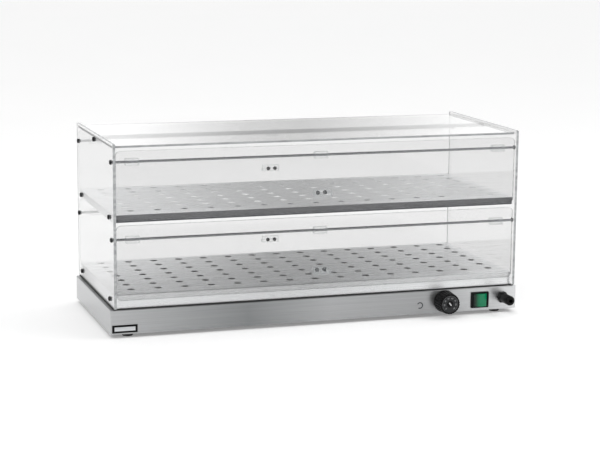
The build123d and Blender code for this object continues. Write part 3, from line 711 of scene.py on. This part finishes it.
# %% [markdown]
# The places come from the solids. A screw node is a group of separate screws, so its loose mesh is
# merged and cut into islands, and each island's head end is where the new head goes.

# %% Where the screws are
HANDLE_HEAD_SIZE = 0.75


def islands(node):
    """The boxes of the separate solids in a node, as (lowest, highest) corners."""
    merged = bmesh.new()
    merged.from_mesh(nodes[node].data)
    bmesh.ops.remove_doubles(merged, verts=merged.verts, dist=WELD)
    left, boxes = set(merged.verts), []
    while left:
        stack, group = [left.pop()], []
        while stack:
            vert = stack.pop()
            group.append(vert.co.copy())
            for other in (e.other_vert(vert) for e in vert.link_edges):
                if other in left:
                    left.remove(other)
                    stack.append(other)
        boxes.append((Vector(map(min, *group)), Vector(map(max, *group))))
    merged.free()
    return boxes


def head_size(node):
    """How large this node's heads are beside the side screws' heads."""
    return HANDLE_HEAD_SIZE if "handle" in node else 1.0


def screw_points(node, aim):
    """One point per screw under its head, with the direction that the head faces."""
    aim = Vector(aim)
    mesh = bpy.data.meshes.new(node)
    seats = []
    for low, high in islands(node):
        middle, reach = (low + high) / 2, (high - low) / 2
        outer = middle + Vector([a * r for a, r in zip(aim, reach)])
        seats.append(outer - aim * HEAD_HEIGHT * head_size(node))
    mesh.from_pydata(seats, [], [])
    aims = mesh.attributes.new("aim", "FLOAT_VECTOR", "POINT")
    aims.data.foreach_set("vector", [*aim] * len(seats))
    print(node, "has", len(seats), "screws")
    return mesh


# %% Set the screws
RIGHTWARD, LEFTWARD, FORWARD, REARWARD = (1, 0, 0), (-1, 0, 0), (0, -1, 0), (0, 1, 0)
screw_sets = [("side_screws_left", LEFTWARD, "root"), ("side_screws_right", RIGHTWARD, "root")]
for place, inward in (("front", REARWARD), ("rear", FORWARD)):
    for tier in ("lower", "upper"):
        screw_sets.append((f"{place}_{tier}_handle_screws", inward, f"{place}_{tier}_flap"))

for seed, (node, aim, body) in enumerate(screw_sets):
    heads = run_tree(node.replace("screws", "screw_heads"), set_screws, screw_points(node, aim),
                     Screw=head, Size=head_size(node), Seed=seed, Material=oxide)
    finish_piece(heads, oxide, body, "black_screws")
bpy.data.objects.remove(head)

# %% [markdown]
# The knob is a phenolic moulding: a skirt, a fluted grip that narrows to the front, and a dished
# face round a small hub. The lathe takes it in one go, with a radius that dips twenty-four times
# round the grip. A high power of the cosine makes the dips narrow and the lands between them broad.

# %% The knob
KNOB_FLUTES = 24
FLUTE_DEPTH = 1.5 * MM
FACE_RADIUS = 21 * MM
GRIP_START = 5 * MM
RIM = 1.4 * MM
DISH = 0.9 * MM
DISH_RADIUS = 17.8 * MM
HUB_RADIUS = 6.9 * MM
BACK_BORE, BACK_BORE_DEPTH = 11 * MM, 6.5 * MM

knob_low, knob_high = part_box("thermostat_knob")
knob_x, knob_z = (knob_low.x + knob_high.x) / 2, (knob_low.z + knob_high.z) / 2
knob_radius = (knob_high.x - knob_low.x) / 2
knob_length = knob_high.y - knob_low.y


def fluted(radius, depth):
    """A round whose radius dips by depth once for each flute."""
    return lambda angle: radius - depth * (0.5 + 0.5 * math.cos(KNOB_FLUTES * angle)) ** 3


def tapered(height):
    """The knob's outer radius at a height above the panel."""
    return knob_radius + (FACE_RADIUS - knob_radius) * height / knob_length


def knob_rings():
    """Skirt, grip, rim, dish and hub, from the panel to the front."""
    rings = [(BACK_BORE_DEPTH, BACK_BORE), (0.0, BACK_BORE),
             (0.0, knob_radius - 0.5 * MM), (0.5 * MM, knob_radius),
             (GRIP_START, tapered(GRIP_START))]
    for share in (0.04, 0.12, 0.5, 0.9):
        height = GRIP_START + (knob_length - RIM - GRIP_START) * share
        rings.append((height, fluted(tapered(height), FLUTE_DEPTH * min(1.0, share * 9))))
    for turn in (0.3, 0.9, 1.5):
        radius = FACE_RADIUS - RIM + RIM * math.cos(turn)
        rings.append((knob_length - RIM + RIM * math.sin(turn),
                      fluted(radius, FLUTE_DEPTH * math.cos(turn) * 0.9)))
    floor = knob_length - DISH
    rings += [(knob_length, DISH_RADIUS + 0.4 * MM), (floor, DISH_RADIUS),
              (floor, HUB_RADIUS), (knob_length - 0.4 * MM, HUB_RADIUS - 0.4 * MM),
              (knob_length, HUB_RADIUS - 1.0 * MM), (knob_length, 2 * MM)]
    return rings


knob = object_from("knob_grip", lathe(knob_rings(), segments=KNOB_FLUTES * 10),
                   facing_front(knob_x, knob_high.y, knob_z))
finish_piece(knob, phenolic, "knob", "black_plastic", "thermostat_knob")

# %% [markdown]
# The dial is a thin printed disc in the knob's dish. Its ticks repeat round a circle, so a tree
# makes them: a bar on each point of an arc, turned to follow it. The numbers are text, turned into
# meshes one by one.

# %% The dial disc
DISC_BORE, DISC_RADIUS, DISC_THICKNESS = 7.0 * MM, 17.7 * MM, 0.12 * MM
dish_y = knob_low.y + DISH

disc_rings = [(0.0, DISC_BORE), (0.0, DISC_RADIUS),
              (DISC_THICKNESS, DISC_RADIUS - 0.1 * MM), (DISC_THICKNESS, DISC_BORE)]
disc = object_from("dial_disc", lathe(disc_rings, segments=96, through=True),
                   facing_front(knob_x, dish_y, knob_z))
finish_piece(disc, dial_skin, "knob", "black_plastic")

# %% The tree that sets ticks
ticks, given = new_tree(
    "dial_ticks", Count="Int", Radius="Float", Start="Float", Sweep="Float", Bar="Vector",
    Material="Material")
arc = add(ticks, "GeometryNodeCurveArc", {
    "Resolution": given["Count"], "Radius": given["Radius"], "Start Angle": given["Start"],
    "Sweep Angle": given["Sweep"]}, mode="RADIUS")
marks = add(ticks, "GeometryNodeCurveToPoints", {"Curve": arc.outputs["Curve"]}, mode="EVALUATED")
tick = add(ticks, "GeometryNodeMeshCube", {"Size": given["Bar"]})
row = add(ticks, "GeometryNodeInstanceOnPoints", {
    "Points": marks.outputs["Points"], "Instance": tick.outputs["Mesh"],
    "Rotation": marks.outputs["Rotation"]})
end_tree(ticks, row.outputs["Instances"], given["Material"])
print("dial_ticks:", len(ticks.nodes), "nodes")

# %% Ticks and numbers
DIAL_SWEEP = math.radians(270)
DIAL_START = math.radians(225)
NUMBERS = ("0", "30", "40", "50", "60", "70", "80", "90")
NUMBER_HEIGHT, NUMBER_RADIUS = 4.6 * MM, 12.4 * MM
PRINT = 0.08 * MM
TICK_COUNT, TICK_RADIUS = 29, 16.6 * MM
TICK_BAR = (0.45 * MM, PRINT, 1.3 * MM)
TICK_LIFT, NUMBER_LIFT = 0.15 * MM, 0.16 * MM

tick_ring = run_tree(
    "dial_ticks", ticks, None, Count=TICK_COUNT, Radius=TICK_RADIUS, Start=DIAL_START - DIAL_SWEEP,
    Sweep=DIAL_SWEEP, Bar=TICK_BAR, Material=faded_ink)
tick_ring.data.transform(facing_front(knob_x, dish_y - TICK_LIFT, knob_z))
finish_piece(tick_ring, faded_ink, "knob", "black_plastic")


def number_mesh(text, angle, radius):
    """A printed number whose foot points to the dial's middle."""
    writing = bpy.data.curves.new("number", "FONT")
    writing.body = text
    writing.size = NUMBER_HEIGHT
    writing.align_x, writing.align_y = "CENTER", "CENTER"
    writing.extrude = PRINT / 2
    holder = bpy.data.objects.new("number", writing)
    bpy.context.collection.objects.link(holder)
    mesh = bpy.data.meshes.new_from_object(holder.evaluated_get(bpy.context.evaluated_depsgraph_get()))
    bpy.data.objects.remove(holder)
    mesh.transform(Matrix.Rotation(angle, 4, "Z") @ Matrix.Translation((radius, 0, 0))
                   @ Matrix.Rotation(-math.pi / 2, 4, "Z"))
    return mesh


printing = bmesh.new()
for index, text in enumerate(NUMBERS):
    angle = DIAL_START - DIAL_SWEEP * index / (len(NUMBERS) - 1)
    mesh = number_mesh(text, angle, NUMBER_RADIUS)
    printing.from_mesh(mesh)
    bpy.data.meshes.remove(mesh)
numbers = object_from("dial_numbers", printing, facing_front(knob_x, dish_y - NUMBER_LIFT, knob_z))
finish_piece(numbers, faded_ink, "knob", "black_plastic")

# %% [markdown]
# A raised bar on the hub tells the fingers where the knob points. It is a small rounded bar, made
# from a box whose edges are bevelled.


# %% The pointer bar
def rounded_bar(size, radius, segments=3):
    """A box of these sizes round the origin, with all its edges rounded."""
    box = bmesh.new()
    bmesh.ops.create_cube(box, size=1.0)
    bmesh.ops.scale(box, vec=size, verts=box.verts)
    bmesh.ops.bevel(
        box, geom=box.edges, offset=radius, segments=segments, profile=0.5, affect="EDGES")
    return box


POINTER = (8 * MM, 2.6 * MM, 0.6 * MM)
POINTER_TURN = math.radians(-52)
POINTER_SINK = 0.15 * MM
pointer = object_from("pointer_bar", rounded_bar(POINTER, radius=0.25 * MM),
                      facing_front(knob_x, knob_low.y + POINTER_SINK, knob_z)
                      @ Matrix.Rotation(POINTER_TURN, 4, "Z"))
finish_piece(pointer, ink, "knob", "black_plastic")

# %% [markdown]
# The cable gland's boot is a nylon cone with a rounded nose and a bore for the cord. The lathe runs
# up the outside, over the nose and back down the bore, and joins the last ring to the first.

# %% The gland's boot
boot_low, boot_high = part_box("gland_boot")
boot_x, boot_z = (boot_low.x + boot_high.x) / 2, (boot_low.z + boot_high.z) / 2
boot_length = boot_high.y - boot_low.y
BOOT_FOOT, BOOT_TIP, BOOT_NOSE, BOOT_BORE = 10.5 * MM, 9.9 * MM, 5 * MM, 4 * MM
COLLAR_LENGTH, CONE_START, CONE_FOOT = 4 * MM, 4.6 * MM, 9.6 * MM
SPIGOT, SPIGOT_DEPTH = 6.55 * MM, 8.05 * MM


def boot_rings():
    """Outside, nose and bore of the boot, from its foot."""
    straight = boot_length - BOOT_NOSE
    rings = [(0.0, BOOT_FOOT - 0.5 * MM), (0.5 * MM, BOOT_FOOT),
             (COLLAR_LENGTH, BOOT_FOOT - 0.3 * MM), (CONE_START, CONE_FOOT)]
    rings += [(CONE_START + (straight - CONE_START) * s, CONE_FOOT + (BOOT_TIP - CONE_FOOT) * s)
              for s in (0.5, 1.0)]
    rings += [(straight + BOOT_NOSE * math.sin(t), BOOT_TIP - BOOT_NOSE * (1 - math.cos(t)))
              for t in (0.4, 0.8, 1.2, math.pi / 2)]
    rings += [(boot_length - 0.4 * MM, BOOT_BORE), (SPIGOT_DEPTH, BOOT_BORE),
              (SPIGOT_DEPTH, SPIGOT), (0.0, SPIGOT)]
    return rings


boot = object_from("gland_boot_moulding", lathe(boot_rings(), segments=48, through=True),
                   facing_front(boot_x, boot_high.y, boot_z))
finish_piece(boot, nylon, "root", "black_plastic", "gland_boot")

# %% [markdown]
# The rocker and the feet have the right shape already, but real mouldings have no razor edges. A
# copy of each solid is merged, its flat faces are joined, and its sharp edges get a small bevel,
# which is what catches the light.

# %% Softened copies of solids
SHARP_ANGLE = math.radians(40)
FLAT_ANGLE = math.radians(1)


def softened(name, node, finish, body, width):
    """A copy of a solid with its sharp edges rounded by width."""
    copy = bmesh.new()
    copy.from_mesh(nodes[node].data)
    bmesh.ops.remove_doubles(copy, verts=copy.verts, dist=WELD)
    bmesh.ops.dissolve_limit(copy, angle_limit=FLAT_ANGLE, verts=copy.verts, edges=copy.edges)
    sharp = [e for e in copy.edges if len(e.link_faces) == 2 and e.calc_face_angle(0.0) > SHARP_ANGLE]
    bmesh.ops.bevel(
        copy, geom=sharp, offset=width, segments=3, profile=0.5, affect="EDGES", clamp_overlap=True)
    piece = object_from(name, copy)
    return finish_piece(piece, finish, body, slot_of[node], node)


softened("rocker_lens", "rocker_button", green, "rocker", width=0.8 * MM)
softened("rubber_feet", "feet", rubber, "root", width=0.5 * MM)

# %% [markdown]
# The clear panels need two finishes each, one for the broad faces and one for the cut edges. A
# copy of the solid is merged, and each face is sorted by its normal: the broad faces look along
# the panel's thinnest direction and stay flat. The shell stays closed, so light still bends in and
# out of it.

# %% Clear panels
BROAD = 0.7


def clear_panel(node, body):
    """A copy of a panel with clear broad faces and polished edges."""
    low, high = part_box(node)
    size = high - low
    thin = min(range(3), key=lambda axis: size[axis])
    copy = bmesh.new()
    copy.from_mesh(nodes[node].data)
    bmesh.ops.remove_doubles(copy, verts=copy.verts, dist=WELD)
    for face in copy.faces:
        face.material_index = 0 if abs(face.normal[thin]) > BROAD else 1
    piece = object_from(f"{node}_clear", copy)
    piece.data.materials.append(acrylic)
    piece.data.materials.append(edge_grey)
    finish_piece(piece, None, body, "clear_acrylic", node)
    for polygon in piece.data.polygons:
        polygon.use_smooth = polygon.material_index == 1
    return piece


for node in ("side_panel_left", "side_panel_right", "top_panel"):
    clear_panel(node, "root")
for place in ("front", "rear"):
    for tier in ("lower", "upper"):
        clear_panel(f"{place}_{tier}_door", f"{place}_{tier}_flap")

# %% [markdown]
# The folded front and rear of the shelf carry a dark grey strip as high as the flange, which paints
# shade on it. It lies in the half millimetre between the flange and the door, so it is very thin.

# %% Edge strips of painted shade
STRIP = 0.35 * MM
STRIP_CLEARANCE = 0.2 * MM
shelf_low, shelf_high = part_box("shelf")
strip_size = (shelf_high.x - shelf_low.x - 2 * FOLD_RADIUS, STRIP,
              shelf_high.z - shelf_low.z - STRIP_CLEARANCE)
strip_z = (shelf_low.z + shelf_high.z) / 2
for place, y in (("front", shelf_low.y - STRIP / 2), ("rear", shelf_high.y + STRIP / 2)):
    strip = object_from(f"{place}_edge_strip", rounded_bar(strip_size, radius=0.12 * MM, segments=2),
                        Matrix.Translation((0, y, strip_z)))
    finish_piece(strip, shade_strip_grey, "root", "black_plastic")

# %% [markdown]
# At the lower left of the front stands a small plate. Here it is bare: a black plastic frame with a
# satin aluminium field set into it, both with softened edges.

# %% The bare plate
front_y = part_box("base_housing")[0].y
PLATE = (50 * MM, 15.5 * MM, 0.8 * MM)
FIELD = (41 * MM, 8 * MM, 0.3 * MM)
FIELD_SINK = 0.05 * MM
PLATE_X, PLATE_Z = -0.397, 0.0185
plate_place = facing_front(PLATE_X, front_y - PLATE[2] / 2, PLATE_Z)
field_place = facing_front(PLATE_X, front_y - PLATE[2] - FIELD[2] / 2 + FIELD_SINK, PLATE_Z)
plate = object_from("bare_plate", rounded_bar(PLATE, radius=0.3 * MM), plate_place)
finish_piece(plate, nylon, "root", "black_plastic")
field = object_from("bare_plate_field", rounded_bar(FIELD, radius=0.1 * MM), field_place)
finish_piece(field, aluminium, "root", "aluminium")

# %% [markdown]
# Beside the knob a small open arc is printed on the steel, the usual sign for a dial that turns. It
# is a thin flat ring with a gap on its left, swept from its outline.

# %% The printed arc
ARC_PLACE = (0.2126, 0.026)
ARC_RADIUS, ARC_LINE, ARC_STEPS = 4.6 * MM, 2.3 * MM, 40
ARC_FROM, ARC_TO = math.radians(-120), math.radians(150)

ring = bmesh.new()
outer = ARC_RADIUS + ARC_LINE
section = ((ARC_RADIUS, 0), (outer, 0), (outer, PRINT), (ARC_RADIUS, PRINT))
turns = [ARC_FROM + (ARC_TO - ARC_FROM) * i / ARC_STEPS for i in range(ARC_STEPS + 1)]
sections = [[ring.verts.new((r * math.cos(t), r * math.sin(t), z)) for r, z in section] for t in turns]
for first, second in zip(sections, sections[1:]):
    for i in range(4):
        j = (i + 1) % 4
        ring.faces.new((first[i], first[j], second[j], second[i]))
ring.faces.new(sections[0][::-1])
ring.faces.new(sections[-1])
bmesh.ops.recalc_face_normals(ring, faces=ring.faces)
arc_mark = object_from("printed_arc", ring, facing_front(ARC_PLACE[0], front_y, ARC_PLACE[1]))
finish_piece(arc_mark, grey_ink, "root", "stainless_steel")

# %% [markdown]
# The studio is a white floor that reaches past the picture, a soft light high on the left, a weaker
# one on the right and two walls. Brushed steel is drawn by what it mirrors. The wall behind the case
# is bright with a grey middle, and the sheets mirror it. The room behind the camera is darker with
# one black gap, and the front of the base mirrors that. Both are graded along X. The paper of the
# floor glows a little, in place of the light that a studio's own walls send back to it.

# %% Floor
FLOOR_REACH = 40
PAPER_GLOW = 0.24

floor = object_from("floor", bmesh.new())
floor_corners = [(x * FLOOR_REACH, y * FLOOR_REACH, 0) for x, y in ((-1, -1), (1, -1), (1, 1), (-1, 1))]
floor.data.from_pydata(floor_corners, [], [(0, 1, 2, 3)])
paper, tree, shader = new_material(
    "white_paper_sweep", "#FAFAFA", Emission_Strength=PAPER_GLOW, Specular_IOR_Level=0.0)
grain(tree, shader, (400 * MM,) * 3, ("#F9F9F9", "#FBFBFB"), (0.9, 1.0), 0.0)
floor.data.materials.append(paper)
print("floor:", 2 * FLOOR_REACH, "m wide")

# %% Surround
WORLD_STRENGTH = 1.8
WALL_BLEND = 0.2
REAR_WALL = ((-0.1, "#8E8E8E"), (0.14, "#DCDCDC"), (0.21, "#DCDCDC"), (0.28, "#A2A2A2"), (0.31, "#989898"),
             (0.35, "#B4B4B4"), (0.4, "#D8D8D8"), (0.6, "#C8C8C8"))
FRONT_WALL = ((0.12, "#A8A8A8"), (0.2, "#727272"), (0.235, "#606060"), (0.27, "#262626"), (0.3, "#4C4C4C"),
              (0.325, "#747474"), (0.37, "#606060"), (0.41, "#B4B4B4"))

world = bpy.data.worlds.new("studio")
world.use_nodes = True
bpy.context.scene.world = world
sky = world.node_tree
direction = add(sky, "ShaderNodeTexCoord").outputs["Generated"]
split = add(sky, "ShaderNodeSeparateXYZ", {"Vector": direction})
sideways = add(sky, "ShaderNodeMapRange", {
    "Value": split.outputs["X"], "From Min": -1.0, "From Max": 1.0})


def graded_wall(stops):
    """A ramp along X through (X of the direction, tone), in rising order."""
    wall = add(sky, "ShaderNodeValToRGB", {"Fac": sideways.outputs["Result"]})
    paint_ramp(wall.color_ramp, [((x + 1) / 2, tone) for x, tone in stops])
    return wall.outputs["Color"]


behind = add(sky, "ShaderNodeMapRange", {
    "Value": split.outputs["Y"], "From Min": -WALL_BLEND, "From Max": WALL_BLEND})
room = add(sky, "ShaderNodeMix", {
    "Factor": behind.outputs["Result"], "A": graded_wall(FRONT_WALL), "B": graded_wall(REAR_WALL)},
    data_type="RGBA")
sky.links.new(room.outputs["Result"], sky.nodes["Background"].inputs["Color"])
sky.nodes["Background"].inputs["Strength"].default_value = WORLD_STRENGTH
print("surround:", len(sky.nodes), "nodes")

# %% Lights
CASE_MIDDLE = (0, 0, 0.15)


def softbox(name, place, size, power):
    """A square soft light aimed at the case."""
    lamp = bpy.data.lights.new(name, "AREA")
    lamp.shape = "SQUARE"
    lamp.size = size
    lamp.energy = power
    light = bpy.data.objects.new(name, lamp)
    bpy.context.collection.objects.link(light)
    light.location = place
    light.rotation_euler = (Vector(CASE_MIDDLE) - Vector(place)).to_track_quat("-Z", "Y").to_euler()


softbox("key_softbox", (-2.2, -2.0, 3.0), size=2.4, power=40.0)
softbox("fill_softbox", (2.6, -1.2, 2.2), size=2.0, power=18.0)
